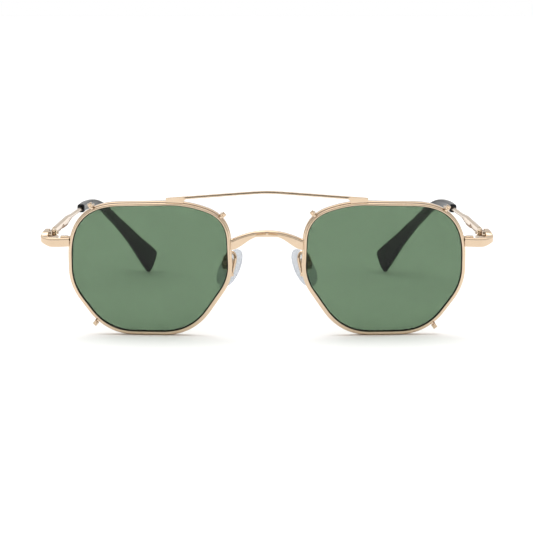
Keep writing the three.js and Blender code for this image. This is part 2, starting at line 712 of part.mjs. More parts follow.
for (const [name, side] of sides) {
  const mainGroove = (CLEAR_LENS_EDGE[0] + CLEAR_LENS_EDGE[1]) / 2;
  const clipGroove = (SUN_LENS_EDGE[0] + SUN_LENS_EDGE[1]) / 2;
  const [, , splitLevel] = LOCK_CENTRE;
  const slit = box([-2, -6, -SPLIT_GAP / 2], [2, 6, SPLIT_GAP / 2]);
  slit.translate(...onFront(side * 62, 3, splitLevel).toArray());
  const mainRim = rim(side, MAIN_STATIONS, MAIN_RIM_FRONT, MAIN_RIM_WIDTH, MAIN_RIM_DEPTH, mainGroove);
  const clipRim = rim(side, CLIP_STATIONS, 0, CLIP_RIM_WIDTH, CLIP_RIM_DEPTH, clipGroove);

  addPart(front, `rim_${name}`, cut(mainRim, slit), metal('gold'));
  addPart(front, `clear_lens_${name}`, lens(side, MAIN_STATIONS, CLEAR_LENS_EDGE, MAIN_RIM_WIDTH),
    seeThrough('clear_lens', 0xf4f7f6, 0.12));
  addPart(front, `clip_rim_${name}`, clipRim, metal('gold'));
  addPart(front, `sun_lens_${name}`, lens(side, CLIP_STATIONS, SUN_LENS_EDGE, CLIP_RIM_WIDTH),
    seeThrough('green_lens', 0x2f5f3c, 0.7));
  CLAW_SPOTS[name].forEach((spot, i) => {
    addPart(front, `claw_${CLAW_NAMES[i]}_${name}`, claw(side, spot), metal('gold'));
  });
  addPart(front, `end_piece_${name}`, endPiece(side), metal('gold'));
  addPart(front, `rim_lock_upper_${name}`, lockBlock(side, 1), metal('gold'));
  addPart(front, `rim_lock_lower_${name}`, lockBlock(side, -1), metal('gold'));
  addPart(front, `rim_screw_${name}`, lockScrew(side), metal('steel'));
  addPart(front, `pad_arm_${name}`, padArm(side), metal('gold'));
  addPart(front, `pad_cup_${name}`, padCup(side), metal('gold'));
  addPart(front, `pad_screw_${name}`, padScrew(side), metal('steel'));
  addPart(front, `nose_pad_${name}`, nosePad(side), seeThrough('pad_clear', 0xe4e8ee, 0.5));

  const hinge = new THREE.Group();
  const [x, y, z] = HINGE_AXIS;
  hinge.position.set(side * x, y, z);
  model.add(hinge);
  addPart(hinge, `hinge_front_${name}`, hingeFront(side), metal('gold'));
  addPart(hinge, `hinge_rear_${name}`, hingeRear(side), metal('gold'));
  addPart(hinge, `hinge_screw_${name}`, hingeScrew(), metal('steel'));
  addPart(model, `temple_${name}`, temple(side), metal('gold'));
  addPart(model, `temple_tip_${name}`, templeTip(side), darkPlastic());
}

const bridge = crossBar(BRIDGE_HALF_SPAN, BRIDGE_HALF_SPAN, BRIDGE_STEPS, bridgeSection);
const browBar = crossBar(BROW_HALF_SPAN, BROW_STRAIGHT, BROW_STEPS, browSection);
addPart(front, 'bridge', bridge, metal('gold'));
addPart(front, 'brow_bar', browBar, metal('gold'));

// The main rims stand on the surface, and the origin is under the middle of the whole object.
front.position.z = -new THREE.Box3().setFromObject(front, true).min.z;
const whole = new THREE.Box3().setFromObject(model, true);
model.position.y = -(whole.min.y + whole.max.y) / 2;

const group = new THREE.Group();
group.add(model);

export default group;
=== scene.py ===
import math

import bmesh
import bpy
from mathutils import Matrix, Vector


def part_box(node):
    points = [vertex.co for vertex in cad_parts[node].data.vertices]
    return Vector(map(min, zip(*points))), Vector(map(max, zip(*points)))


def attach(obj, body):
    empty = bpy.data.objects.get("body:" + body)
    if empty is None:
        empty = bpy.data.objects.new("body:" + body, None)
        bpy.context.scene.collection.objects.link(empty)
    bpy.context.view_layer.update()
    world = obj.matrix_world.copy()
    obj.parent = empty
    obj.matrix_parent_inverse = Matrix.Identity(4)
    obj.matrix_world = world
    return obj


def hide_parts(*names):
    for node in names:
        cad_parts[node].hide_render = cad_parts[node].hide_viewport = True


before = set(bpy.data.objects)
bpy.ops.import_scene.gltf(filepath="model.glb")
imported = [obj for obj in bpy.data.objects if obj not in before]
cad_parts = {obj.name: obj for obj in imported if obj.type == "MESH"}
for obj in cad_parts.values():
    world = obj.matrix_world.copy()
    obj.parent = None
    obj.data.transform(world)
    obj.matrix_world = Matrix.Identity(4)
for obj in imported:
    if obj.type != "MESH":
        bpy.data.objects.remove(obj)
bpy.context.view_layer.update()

# Lengths below are millimetres in the drawing of the sunglasses, and MM turns them into the frame's metres.
MM = 0.001
# How far the front leans forward, and how far each half turns back from the middle.
TILT = math.radians(4)
WRAP = math.radians(4)
WRAP_ROUND = 8
# The centre of each eye, and the radius to which the front curves round it.
EYE_X, EYE_Z = 36.5, 21.25
BASE_RADIUS = 160

# ------------------------------------------------------------------ where the drawing sits in the frame


def middle(node):
    low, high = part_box(node)
    return (low + high) / 2 / MM


LOCK = (63.9, 4.5, 28.75)
# A lock block reaches from the one to the other above or below the rim's split.
LOCK_NEAR, LOCK_FAR = 0.15, 1.45
HINGE = (68.1, 16.3, 31.0)
SHIFT = middle("hinge_screw_left").y - HINGE[1]


def bend_depth(x, z):
    """How far back the front's curved surface is, at a place across and up."""
    wrap = (math.hypot(x, WRAP_ROUND) - WRAP_ROUND) * math.tan(WRAP)
    return wrap + ((abs(x) - EYE_X) ** 2 + (z - EYE_Z) ** 2) / (2 * BASE_RADIUS)


LOCK_Y = LOCK[1] + bend_depth(LOCK[0], LOCK[2])
LOCK_BLOCK_Z = LOCK[2] + (LOCK_NEAR + LOCK_FAR) / 2
LIFT = middle("rim_lock_upper_left").z - (LOCK_Y * math.sin(TILT) + LOCK_BLOCK_Z * math.cos(TILT))


def from_model(p):
    """A point of the drawing that doesn't lean with the front."""
    return Vector((p[0], p[1] + SHIFT, p[2])) * MM


def from_front(p):
    """A point of the front's own drawing, leaned forward with it."""
    y = p[1] * math.cos(TILT) - p[2] * math.sin(TILT)
    z = p[1] * math.sin(TILT) + p[2] * math.cos(TILT)
    return Vector((p[0], y + SHIFT, z + LIFT)) * MM


def on_front(x, y, z):
    return Vector((x, y + bend_depth(x, z), z))


# ------------------------------------------------------------------ small geometry kit


def smooth(low, high, value):
    t = min(1.0, max(0.0, (value - low) / (high - low)))
    return t * t * (3 - 2 * t)


def lerp(a, b, t):
    return a + (b - a) * t


def rounded(corners, radii, steps=3):
    """A closed outline with each corner turned into a small curve."""
    out = []
    points = [Vector(c) for c in corners]
    for i, corner in enumerate(points):
        before = points[i - 1] - corner
        after = points[(i + 1) % len(points)] - corner
        r = radii[i] if isinstance(radii, (list, tuple)) else radii
        a = corner + before.normalized() * min(r, before.length * 0.49)
        b = corner + after.normalized() * min(r, after.length * 0.49)
        for k in range(steps + 1):
            t = k / steps
            out.append(a * (1 - t) ** 2 + corner * 2 * t * (1 - t) + b * t * t)
    return out


def curve_points(points, count):
    """Points evenly along a Catmull-Rom curve, with the direction at each."""
    pts = [Vector(p) for p in points]
    pts = [pts[0] * 2 - pts[1]] + pts + [pts[-1] * 2 - pts[-2]]
    dense = []
    for i in range(1, len(pts) - 2):
        p0, p1, p2, p3 = pts[i - 1:i + 3]
        for k in range(24):
            t = k / 24
            dense.append(0.5 * (2 * p1 + (p2 - p0) * t + (2 * p0 - 5 * p1 + 4 * p2 - p3) * t * t
                                + (3 * p1 - p0 - 3 * p2 + p3) * t ** 3))
    dense.append(pts[-2])
    run = [0.0]
    for a, b in zip(dense, dense[1:]):
        run.append(run[-1] + (b - a).length)
    places = []
    j = 0
    for k in range(count + 1):
        want = run[-1] * k / count
        while j < len(run) - 2 and run[j + 1] < want:
            j += 1
        places.append(dense[j].lerp(dense[j + 1], (want - run[j]) / (run[j + 1] - run[j])))
    ways = []
    for k in range(count + 1):
        ways.append((places[min(count, k + 1)] - places[max(0, k - 1)]).normalized())
    return list(zip(places, ways))


def loft(rings, closed=False):
    """Vertices and faces of one body through rings of equally many points."""
    n = len(rings[0])
    verts = [p for ring in rings for p in ring]
    faces = []
    for r in range(len(rings) if closed else len(rings) - 1):
        a, b = r * n, (r + 1) % len(rings) * n
        faces += [(a + k, a + (k + 1) % n, b + (k + 1) % n, b + k) for k in range(n)]
    if not closed:
        for ring, base, flip in ((rings[0], 0, True), (rings[-1], (len(rings) - 1) * n, False)):
            verts.append(sum(ring, Vector((0, 0, 0))) / n)
            for k in range(n):
                edge = [base + k, base + (k + 1) % n]
                faces.append(tuple((edge[::-1] if flip else edge) + [len(verts) - 1]))
    return verts, faces


def revolve(profile, frame_of, sides=28):
    """A body of revolution: profile is a closed outline of (radius, height) that never meets the axis,
    or an open one that starts and ends on it."""
    on_axis = profile[0][0] < 1e-6
    if not on_axis:
        rings = []
        for s in range(sides):
            a = 2 * math.pi * s / sides
            rings.append([frame_of((r * math.cos(a), r * math.sin(a), h)) for r, h in profile])
        return loft(rings, True)
    rings = []
    for r, h in profile[1:-1]:
        turns = [2 * math.pi * s / sides for s in range(sides)]
        rings.append([frame_of((r * math.cos(a), r * math.sin(a), h)) for a in turns])
    return loft(rings)


def block(low, high, frame_of, round_by=0.12, steps=2):
    """A box with every edge rounded."""
    bm = bmesh.new()
    bmesh.ops.create_cube(bm, size=1)
    for v in bm.verts:
        v.co = Vector([lerp(low[i], high[i], v.co[i] + 0.5) for i in range(3)])
    bmesh.ops.bevel(bm, geom=bm.edges[:], offset=round_by, segments=steps, profile=0.5, affect="EDGES")
    bm.verts.index_update()
    verts = [frame_of(v.co) for v in bm.verts]
    faces = [tuple(v.index for v in f.verts) for f in bm.faces]
    bm.free()
    return verts, faces


def tube(points, radius, steps, sides, place):
    """A round wire with softly closed ends; radius is a number or a function of the share along it."""
    size = radius if callable(radius) else (lambda share: radius)
    run = curve_points(points, steps)
    side = run[0][1].orthogonal().normalized()
    rings = []
    for k, (p, way) in enumerate(run):
        side = (side - way * side.dot(way)).normalized()
        up = way.cross(side)
        r = size(k / steps)
        turns = [2 * math.pi * s / sides for s in range(sides)]
        rings.append([place(p + (side * math.cos(a) + up * math.sin(a)) * r) for a in turns])
    return loft(rings)


def piece(name, bodies_of_mesh, material, body, nodes, sharp=38.0):
    """One visible piece of several closed bodies, riding on a CAD body.
    A body may also name the faces that take the second material."""
    bm = bmesh.new()
    for verts, faces, *painted in bodies_of_mesh:
        made = [bm.verts.new(v) for v in verts]
        for number, f in enumerate(faces):
            face = bm.faces.new([made[i] for i in f])
            if painted and number in painted[0]:
                face.material_index = 1
    bmesh.ops.remove_doubles(bm, verts=bm.verts, dist=1e-7)
    bmesh.ops.recalc_face_normals(bm, faces=bm.faces)
    mesh = bpy.data.meshes.new(name)
    bm.to_mesh(mesh)
    bm.free()
    for one in material if isinstance(material, list) else [material]:
        mesh.materials.append(one)
    mesh.shade_smooth()
    mesh.set_sharp_from_angle(angle=math.radians(sharp))
    thing = bpy.data.objects.new(name, mesh)
    bpy.context.scene.collection.objects.link(thing)
    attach(thing, body)
    if nodes:
        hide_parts(*nodes)
    return thing


# ------------------------------------------------------------------ materials


class Nodes:
    """A short way to write a node tree."""

    def __init__(self, name, world=False):
        self.owner = bpy.data.worlds.new(name) if world else bpy.data.materials.new(name)
        self.owner.use_nodes = True
        self.tree = self.owner.node_tree
        self.tree.nodes.clear()

    def add(self, kind, inputs=None, **settings):
        node = self.tree.nodes.new(kind)
        for key, value in settings.items():
            setattr(node, key, value)
        for key, value in (inputs or {}).items():
            if isinstance(value, bpy.types.NodeSocket):
                self.tree.links.new(value, node.inputs[key])
            else:
                node.inputs[key].default_value = value
        return node

    def math(self, operation, a, b=0.0, clamp=False):
        node = self.add("ShaderNodeMath", {0: a, 1: b}, operation=operation)
        node.use_clamp = clamp
        return node.outputs[0]

    def mix(self, share, a, b):
        node = self.add("ShaderNodeMix", data_type="RGBA")
        for key, value in ((0, share), (6, a), (7, b)):
            if isinstance(value, bpy.types.NodeSocket):
                self.tree.links.new(value, node.inputs[key])
            else:
                node.inputs[key].default_value = value
        return node.outputs[2]

    def spread(self, value, from_low, from_high, to_low, to_high):
        node = self.add("ShaderNodeMapRange", {0: value, 1: from_low, 2: from_high, 3: to_low, 4: to_high})
        return node.outputs[0]

    def noise(self, scale, detail=3.0, stretch=(1, 1, 1), rough=0.5):
        where = self.add("ShaderNodeTexCoord").outputs["Object"]
        spot = self.add("ShaderNodeMapping", {"Vector": where, "Scale": stretch}).outputs[0]
        return self.add("ShaderNodeTexNoise", {"Vector": spot, "Scale": scale, "Detail": detail,
                                               "Roughness": rough}).outputs["Fac"]

    def bump(self, height, strength, distance):
        return self.add("ShaderNodeBump", {"Height": height, "Strength": strength,
                                           "Distance": distance}).outputs[0]

    def done(self, shader):
        self.add("ShaderNodeOutputMaterial", {"Surface": shader})
        return self.owner


def metal(name, light, deep, rough_low, rough_high, scratch=0.1):
    """Plated metal: cloudy plating tone, fine hairlines, a lighter tone on sharp convex edges and a little
    handling haze.
    """
    m = Nodes(name)
    cloud = m.noise(240, 4)
    hair = m.noise(900, 2, (1, 9, 14), 0.6)
    haze = m.noise(70, 5, rough=0.65)
    tone = m.mix(m.spread(cloud, 0.3, 0.7, 0, 1), light + (1,), deep + (1,))
    edge = m.add("ShaderNodeNewGeometry").outputs["Pointiness"]
    bright = tuple(min(1, c * 1.08 + 0.03) for c in light) + (1,)
    edge_lightened = m.mix(m.spread(edge, 0.54, 0.66, 0, 0.45), tone, bright)
    handled = m.spread(haze, 0.35, 0.7, rough_low, rough_high)
    rough = m.math("ADD", handled, m.spread(hair, 0.45, 0.8, 0, 0.05))
    shader = m.add("ShaderNodeBsdfPrincipled", {
        "Base Color": edge_lightened, "Metallic": 1.0, "Roughness": rough,
        "Normal": m.bump(hair, scratch, 0.00002)})
    return m.done(shader.outputs[0])


GOLD = metal("champagne_gold", (0.69, 0.54, 0.395), (0.655, 0.503, 0.355), 0.10, 0.2)


def painted_shade_plating():
    """Painted shade for the lower inner facet of the temples: a dull brown gold standing in for the shade on
    that facet.
    """
    m = Nodes("painted_shade_gold")
    cloud = m.noise(240, 4)
    grain = m.noise(900, 2, (1, 9, 14), 0.6)
    shader = m.add("ShaderNodeBsdfPrincipled", {
        "Base Color": m.mix(m.spread(cloud, 0.3, 0.7, 0, 1), (0.33, 0.215, 0.14, 1), (0.27, 0.17, 0.11, 1)),
        "Metallic": 0.1, "Roughness": 0.55, "Specular IOR Level": 0.15, "Normal": m.bump(grain, 0.1, 0.00002)})
    return m.done(shader.outputs[0])


PAINTED_SHADE_GOLD = painted_shade_plating()
STEEL = metal("screw_metal", (0.78, 0.68, 0.56), (0.7, 0.6, 0.48), 0.18, 0.32, 0.25)


def tinted(name, through, gloss, haze_scale):
    """A thin polished plastic sheet: light goes straight through, tinted, and the surface mirrors a little."""
    m = Nodes(name)
    smear = m.noise(haze_scale, 4, rough=0.6)
    tone = m.mix(m.spread(smear, 0.3, 0.7, 0, 1), tuple(c * 0.985 for c in through) + (1,), through + (1,))
    clear = m.add("ShaderNodeBsdfTransparent", {"Color": tone})
    mirror = m.add("ShaderNodeBsdfPrincipled", {
        "Base Color": (0.2, 0.16, 0.2, 1), "Metallic": 0.0, "Specular IOR Level": 1.0,
        "Roughness": m.spread(smear, 0.35, 0.75, 0.02, 0.06)})
    facing = m.add("ShaderNodeLayerWeight", {"Blend": 0.22}).outputs["Facing"]
    share = m.math("ADD", m.math("MULTIPLY", m.math("POWER", facing, 3.0), 0.5), gloss)
    both = m.add("ShaderNodeMixShader", {0: share, 1: clear.outputs[0], 2: mirror.outputs[0]})
    return m.done(both.outputs[0])


SUN = tinted("green_lens", (0.388, 0.483, 0.38), 0.058, 45)
CLEAR = tinted("clear_lens", (0.985, 0.99, 0.985), 0.02, 60)


def lens_edge_painted_shade():
    """The ground edge of the tinted lens, near-black brown with a fine grain: partly the edge's own dull tone,
    partly painted shade of the gap where the lens meets the rim.
    """
    m = Nodes("lens_edge_painted_shade")
    grain = m.noise(800, 3)
    shader = m.add("ShaderNodeBsdfPrincipled", {
        "Base Color": m.mix(grain, (0.012, 0.01, 0.006, 1), (0.03, 0.024, 0.014, 1)), "Roughness": 0.6,
        "Specular IOR Level": 0.2})
    return m.done(shader.outputs[0])


SUN_LENS_EDGE_SHADE = lens_edge_painted_shade()


def pad_silicone():
    m = Nodes("clear_silicone")
    cloud = m.noise(260, 3)
    rim = m.add("ShaderNodeLayerWeight", {"Blend": 0.35}).outputs["Facing"]
    glass = m.add("ShaderNodeBsdfTransparent", {"Color": (0.93, 0.945, 0.965, 1)})
    body = m.add("ShaderNodeBsdfPrincipled", {
        "Base Color": m.mix(m.spread(cloud, 0.3, 0.7, 0, 1), (0.33, 0.37, 0.45, 1), (0.5, 0.54, 0.6, 1)),
        "Roughness": m.spread(cloud, 0.3, 0.7, 0.08, 0.2), "Specular IOR Level": 0.6,
        "Normal": m.bump(m.noise(500, 2), 0.03, 0.00003)})
    share = m.math("ADD", m.math("MULTIPLY", m.math("POWER", rim, 1.6), 0.7), 0.26, True)
    both = m.add("ShaderNodeMixShader", {0: share, 1: glass.outputs[0], 2: body.outputs[0]})
    return m.done(both.outputs[0])


SILICONE = pad_silicone()


def black_acetate():
    m = Nodes("black_acetate")
    cloud = m.noise(160, 4)
    smear = m.noise(55, 5, (1, 0.4, 1), 0.7)
    shader = m.add("ShaderNodeBsdfPrincipled", {
        "Base Color": m.mix(m.spread(cloud, 0.3, 0.7, 0, 1), (0.006, 0.007, 0.009, 1), (0.012, 0.014, 0.017, 1)),
        "Roughness": m.spread(smear, 0.35, 0.7, 0.24, 0.38), "Specular IOR Level": 0.32, "Coat Weight": 0.08,
        "Coat Roughness": 0.12, "Normal": m.bump(m.noise(420, 3), 0.12, 0.00004)})
    return m.done(shader.outputs[0])


BLACK = black_acetate()

# ------------------------------------------------------------------ the eye outline

# Corners round the eye's centre: across towards the nose, up, and the length rounded off.
EYE_CORNERS = [(-25.95, 20.1, 16.9), (-25.95, -6.25, 5.8), (-14.25, -21.95, 9.05), (13.4, -21.95, 9.75),
               (25.8, -3.7, 4.85), (25.1, 16.4, 8.0), (11.2, 21.2, 6.15)]
# The clip's outline is smaller all round, and stands a little higher.
CLIP_INSET, CLIP_RISE = 0.6, 0.35
OUTLINE_STEPS = 216


def eye_outline():
    corners = [Vector(c[:2]) for c in EYE_CORNERS]
    dense = []
    for i, corner in enumerate(corners):
        reach = EYE_CORNERS[i][2]
        a = corner + (corners[i - 1] - corner).normalized() * reach
        b = corner + (corners[(i + 1) % len(corners)] - corner).normalized() * reach
        for k in range(25):
            t = k / 24
            p = a * (1 - t) ** 2 + corner * 2 * t * (1 - t) + b * t * t
            way = (corner - a) * (1 - t) + (b - corner) * t
            out = Vector((way.y, -way.x)).normalized()
            dense.append((p, out if out.dot(p) > 0 else -out))
    dense.append(dense[0])
    run = [0.0]
    for (a, _), (b, _) in zip(dense, dense[1:]):
        run.append(run[-1] + (b - a).length)
    stations = []
    j = 0
    for k in range(OUTLINE_STEPS):
        want = run[-1] * k / OUTLINE_STEPS
        while run[j + 1] < want:
            j += 1
        t = (want - run[j]) / max(1e-9, run[j + 1] - run[j])
        place = dense[j][0].lerp(dense[j + 1][0], t)
        stations.append((place, dense[j][1].lerp(dense[j + 1][1], t).normalized()))
    return stations


MAIN = eye_outline()
CLIP = [(place - outward * CLIP_INSET + Vector((0, CLIP_RISE)), outward) for place, outward in MAIN]


def eye_point(side, station, out, depth, scale=1.0):
    place, outward = station
    across = (place.x + outward.x * out) * scale
    up = (place.y + outward.y * out) * scale
    return from_front(on_front(side * (EYE_X - across), depth, EYE_Z + up))


def rim_section(front, back, width, groove):
    corners = [(0, front), (0, back), (-width, back), (-width, groove + 0.4), (-width + 0.4, groove),
               (-width, groove - 0.4), (-width, front)]
    return rounded(corners, [0.3, 0.26, 0.2, 0.05, 0.05, 0.05, 0.26], 3)


def rim(side, stations, front, depth, width, split=None):
    section = rim_section(front, front + depth, width, front + depth / 2)
    ring = lambda s: [eye_point(side, s, p.x, p.y) for p in section]
    if split is None:
        return loft([ring(s) for s in stations], True)
    half, level = split
    start = min(range(len(stations)),
                key=lambda i: abs(stations[i][0].y - level) + (99 if stations[i][0].x > -20 else 0))
    order = stations[start:] + stations[:start]
    way = 1 if order[1][0].y > order[0][0].y else -1
    first = (Vector((order[0][0].x, level + way * half)), order[0][1])
    last = (Vector((order[0][0].x, level - way * half)), order[0][1])
    inside = [s for s in order if abs(s[0].y - level) > half + 0.1 or s[0].x > 0]
    return loft([ring(s) for s in [first] + inside + [last]])


def lens(side, stations, front, back, width, edge=0.26):
    """A lens with a bevelled edge. The ground edge and a strip `edge` wide on the back are named apart; they
    take a near-black material that paints the shade where the lens meets the rim.
    """
    flank = -width - 0.05
    half = (back - front) / 2
    mid = front + half
    scales = [0.06, 0.2, 0.36, 0.52, 0.68, 0.82, 0.92, 0.975, 1.0]
    ring = lambda out, y, scale: [eye_point(side, s, out, y, scale) for s in stations]
    rings = [ring(flank, front, s) for s in scales]
    rings += [ring(flank, mid - 0.26, 1), ring(-width + 0.22, mid, 1), ring(flank, mid + 0.26, 1)]
    rings += [ring(flank, back, 1), ring(flank - edge, back, 1)]
    rings += [ring(flank, back, s) for s in reversed(scales[:-1])]
    verts, faces = loft(rings)
    first = (len(scales) - 1) * len(stations)
    return verts, faces, set(range(first, first + 5 * len(stations)))


CLIP_RIM = dict(front=0.0, depth=1.3, width=0.66)
MAIN_RIM = dict(front=2.0, depth=2.2, width=0.9)
SUN_LENS = dict(front=0.22, back=1.08, width=0.66)
CLEAR_LENS = dict(front=2.45, back=3.95, width=0.9)
# Half the gap where the main rim is cut for its lock.
RIM_SPLIT = 0.15

# ------------------------------------------------------------------ bridge and brow bar


BRIDGE_END, BRIDGE_REACH = 11.25, 10.78
BRIDGE_TOP, BRIDGE_TOP_RADIUS = 33.2, 21
BRIDGE_UNDERSIDE = 31.25
BRIDGE_PAD_DROP, BRIDGE_PAD_START, BRIDGE_PAD_END = 4.3, 2.6, 11.4
BRIDGE_FACE, BRIDGE_BOW, BRIDGE_DEPTH = 1.6, 0.8, 1.5
BROW_END, BROW_REACH = 31.4, 26
BROW_MIDDLE, BROW_SLOPE, BROW_CROWN = 45.29, 0.075, 3
BROW_HALF_HEIGHT = 0.42
BROW_FACE, BROW_BACK = 0.15, 1.12


def cross_bar(half_span, straight, steps, section):
    rings = []
    for k in range(steps + 1):
        x = half_span * (2 * k / steps - 1)
        follow = max(abs(x), straight)
        rings.append([from_front(Vector((x, p[0] + bend_depth(follow, p[1]), p[1]))) for p in section(x)])
    return loft(rings)


def bridge_section(x):
    reach = min(abs(x), BRIDGE_REACH)
    top = BRIDGE_TOP - reach ** 2 / (2 * BRIDGE_TOP_RADIUS)
    bottom = BRIDGE_UNDERSIDE - BRIDGE_PAD_DROP * smooth(BRIDGE_PAD_START, BRIDGE_PAD_END, reach)
    bow = BRIDGE_BOW * (1 - (reach / BRIDGE_REACH) ** 2)
    face = BRIDGE_FACE - bow
    back = face + BRIDGE_DEPTH
    slit = top - 0.74
    open_by = smooth(0.25, 0.6, reach) * lerp(1.0, 0.12, smooth(3.0, 3.7, reach))
    deep = 0.5 * open_by
    tall = 0.05 + 0.13 * open_by
    crown = 0.1 + 0.05 * open_by
    corners = [(face + 0.02, bottom), (face, bottom + 0.3), (face, slit - tall * 2.2),
               (face + deep, slit - tall * 0.4), (face + deep, slit + tall * 0.4),
               (face - 0.02, slit + tall * 1.6), (face + crown, top - 0.16), (face + 0.5, top),
               (back, top), (back, bottom)]
    return rounded(corners, [0.18, 0.1, 0.08, 0.04, 0.04, 0.09, 0.14, 0.14, 0.3, 0.25], 3)


def rim_top(x):
    """Height of the rim's outer edge above the front's foot, at a distance across."""
    near = [s[0] for s in CLIP if s[0].y > 15]
    near.sort(key=lambda p: p.x)
    want = EYE_X - abs(x)
    for a, b in zip(near, near[1:]):
        if a.x <= want <= b.x:
            return EYE_Z + lerp(a.y, b.y, (want - a.x) / max(1e-9, b.x - a.x))
    return EYE_Z + near[0].y


def brow_section(x):
    reach = BROW_END - abs(x)
    tab = 1 - smooth(5.1, 6.1, reach)
    mid = BROW_MIDDLE - BROW_SLOPE * (math.hypot(x, BROW_CROWN) - BROW_CROWN)
    low, high = mid - BROW_HALF_HEIGHT, mid + BROW_HALF_HEIGHT
    if tab > 0:
        low = lerp(low, min(low, rim_top(x) - 0.08), tab)
    tip = 1 - smooth(0.0, 0.3, reach)
    high -= 0.2 * tip
    face = BROW_FACE + 0.08 * tip
    corners = [(face + 0.36 * tab, low), (face, high), (BROW_BACK, high), (BROW_BACK, low)]
    return rounded(corners, [0.12, 0.14, 0.2, 0.12], 4)


# ------------------------------------------------------------------ claws

# Where the claws stand round each eye's centre: across towards the nose, and up.
CLAW_SPOTS = {-1: [(22.6, 16.9), (-18.7, 19.4), (-16.9, -17.8)],
              1: [(22.1, 17.2), (-19.5, 18.4), (-16.4, -18.6)]}
CLAW_NAMES = ["nasal", "temporal", "lower"]


def claw(side, spot):
    place, outward = min(CLIP, key=lambda s: (s[0] - Vector(spot)).length)
    out = Vector((-side * outward.x, 0, outward.y))
    back = Vector((0, 1, 0))
    along = out.cross(back)
    root = on_front(side * (EYE_X - place.x), 0, EYE_Z + place.y)
    place_at = lambda p: from_front(root + out * p[0] + back * p[1] + along * p[2])
    prong = CLIP_INSET - CLIP_RISE * outward.y + 0.36
    head = block((0.76, -0.05, -0.68), (2.12, 1.15, 0.68), place_at, 0.13, 3)
    neck = block((-0.3, 0.3, -0.4), (0.9, 1.05, 0.4), place_at, 0.12)
    hook = [(1.45, 0.9), (lerp(prong, 1.6, 0.7), 1.5), (prong + 0.1, 2.1),
            (prong, 2.7), (prong, 4.4), (prong + 0.04, 4.9)]
    rings = []
    for k, (p, way) in enumerate(curve_points([(a, b, 0) for a, b in hook], 16)):
        flat = Vector((way.y, -way.x, 0)).normalized() * 0.24
        rings.append([place_at(Vector((0, 0, w)) + p + flat * u)
                      for u, w in ((-1, -0.5), (-0.6, -0.62), (0.6, -0.62), (1, -0.5),
                                   (1, 0.5), (0.6, 0.62), (-0.6, 0.62), (-1, 0.5))])
    bead = revolve([(0, -0.46), (0.22, -0.43), (0.36, -0.3), (0.42, -0.1), (0.42, 0.2), (0.0, 0.25)],
                   lambda p: place_at((1.44 + p[0], p[2] + 0.15, p[1])), 20)
    return [head, neck, loft(rings), bead]


# ------------------------------------------------------------------ end pieces, locks and hinges


def end_piece(side):
    flat = [on_front(62.0, 2.35, 28.7), on_front(66.3, 2.3, 28.35), on_front(69.4, 2.5, 28.3),
            on_front(71.0, 4.2, 28.65), Vector((70.8, 14.9, 29.4)), Vector((70.45, 18.7, 29.6))]
    rings = []
    steps = 56
    for k, (p, way) in enumerate(curve_points(flat, steps)):
        share = k / steps
        out = Vector((way.y, -way.x, 0)).normalized()
        turned = smooth(0.3, 0.52, share)
        inner = lerp(0.6, 1.75, turned) - 0.5 * smooth(0.72, 0.95, share)
        low = -1.4 + 0.75 * smooth(0.34, 0.55, share)
        high = 1.4
        corners = [(0.6, low), (0.6, high - 0.42), (0.28, high), (-inner, high), (-inner, low)]
        ring = []
        for q in rounded(corners, [0.3, 0.14, 0.12, 0.2, 0.2], 3):
            r = p + out * q.x + Vector((0, 0, q.y))
            ring.append(from_front((side * r.x, r.y, r.z)))
        rings.append(ring)
    return loft(rings)


def corner_block(side):
    """The solid metal that fills the corner behind the end piece's band."""
    corners = [(65.9, 9.4), (69.3, 10.2), (70.6, 11.8), (70.6, 13.9), (65.9, 13.9)]
    centre = Vector((68.4, 11.8))
    rings = []
    for level, scale in ((27.5, 0.94), (27.62, 1.0), (29.55, 1.0), (29.72, 0.98), (29.78, 0.93)):
        outline = [centre + (q - centre) * scale for q in rounded(corners, 0.35, 4)]
        rings.append([from_front((side * q.x, q.y, level)) for q in outline])
    return loft(rings)


def lock(side, level):
    x, y, z = side * LOCK[0], LOCK_Y, LOCK[2]
    at = lambda p: from_front((x + p[0], y + p[1], z + p[2]))
    low, high = (LOCK_NEAR, LOCK_FAR) if level > 0 else (-LOCK_FAR, -LOCK_NEAR)
    lug = block((-1.2, -0.95, low), (1.2, 0.95, high), at, 0.2, 3)
    reach = sorted((-side * 0.7, -side * 1.9))
    web = block((reach[0], -0.8, low + 0.1), (reach[1], 0.7, high - 0.1), at, 0.14)
    return [lug, web]


def slotted_screw(radius, length, head_radius, crown, place):
    """A screw standing on Z with its slotted cheese head on top and its end at the bottom."""
    shank = revolve([(0, -length), (radius * 0.8, -length), (radius, -length + 0.1), (radius, 0.02), (0, 0.02)],
                    place, 24)
    head = [(0, 0), (head_radius * 0.9, 0), (head_radius, 0.06), (head_radius, crown * 0.62),
            (head_radius * 0.82, crown * 0.94), (head_radius * 0.6, crown), (0, crown)]
    sides = 40
    slot = head_radius * 0.2
    rings = []
    for r, h in head[1:-1]:
        ring = []
        for s in range(sides):
            a = 2 * math.pi * s / sides
            x, y = r * math.cos(a), r * math.sin(a)
            sunk = h
            if h > crown * 0.5 and abs(y) < slot:
                sunk = crown * 0.5
            ring.append(place((x, y, sunk)))
        rings.append(ring)
    for r in (head_radius * 0.4, head_radius * 0.2):
        ring = []
        for s in range(sides):
            a = 2 * math.pi * s / sides
            y = r * math.sin(a)
            ring.append(place((r * math.cos(a), y, crown * 0.5 if abs(y) < slot else crown)))
        rings.append(ring)
    return [shank, loft(rings)]


def barrel(low, high, place):
    """One knuckle of the hinge, bored for the screw."""
    bore, outer, c = 0.55, 1.1, 0.1
    profile = [(bore, low + c), (bore + c, low), (outer - c, low), (outer, low + c),
               (outer, high - c), (outer - c, high), (bore + c, high), (bore, high - c)]
    return revolve(profile, place, 32)


def hinge_place(side):
    return lambda p: from_model((side * (HINGE[0] + p[0]), HINGE[1] + p[1], HINGE[2] + p[2]))


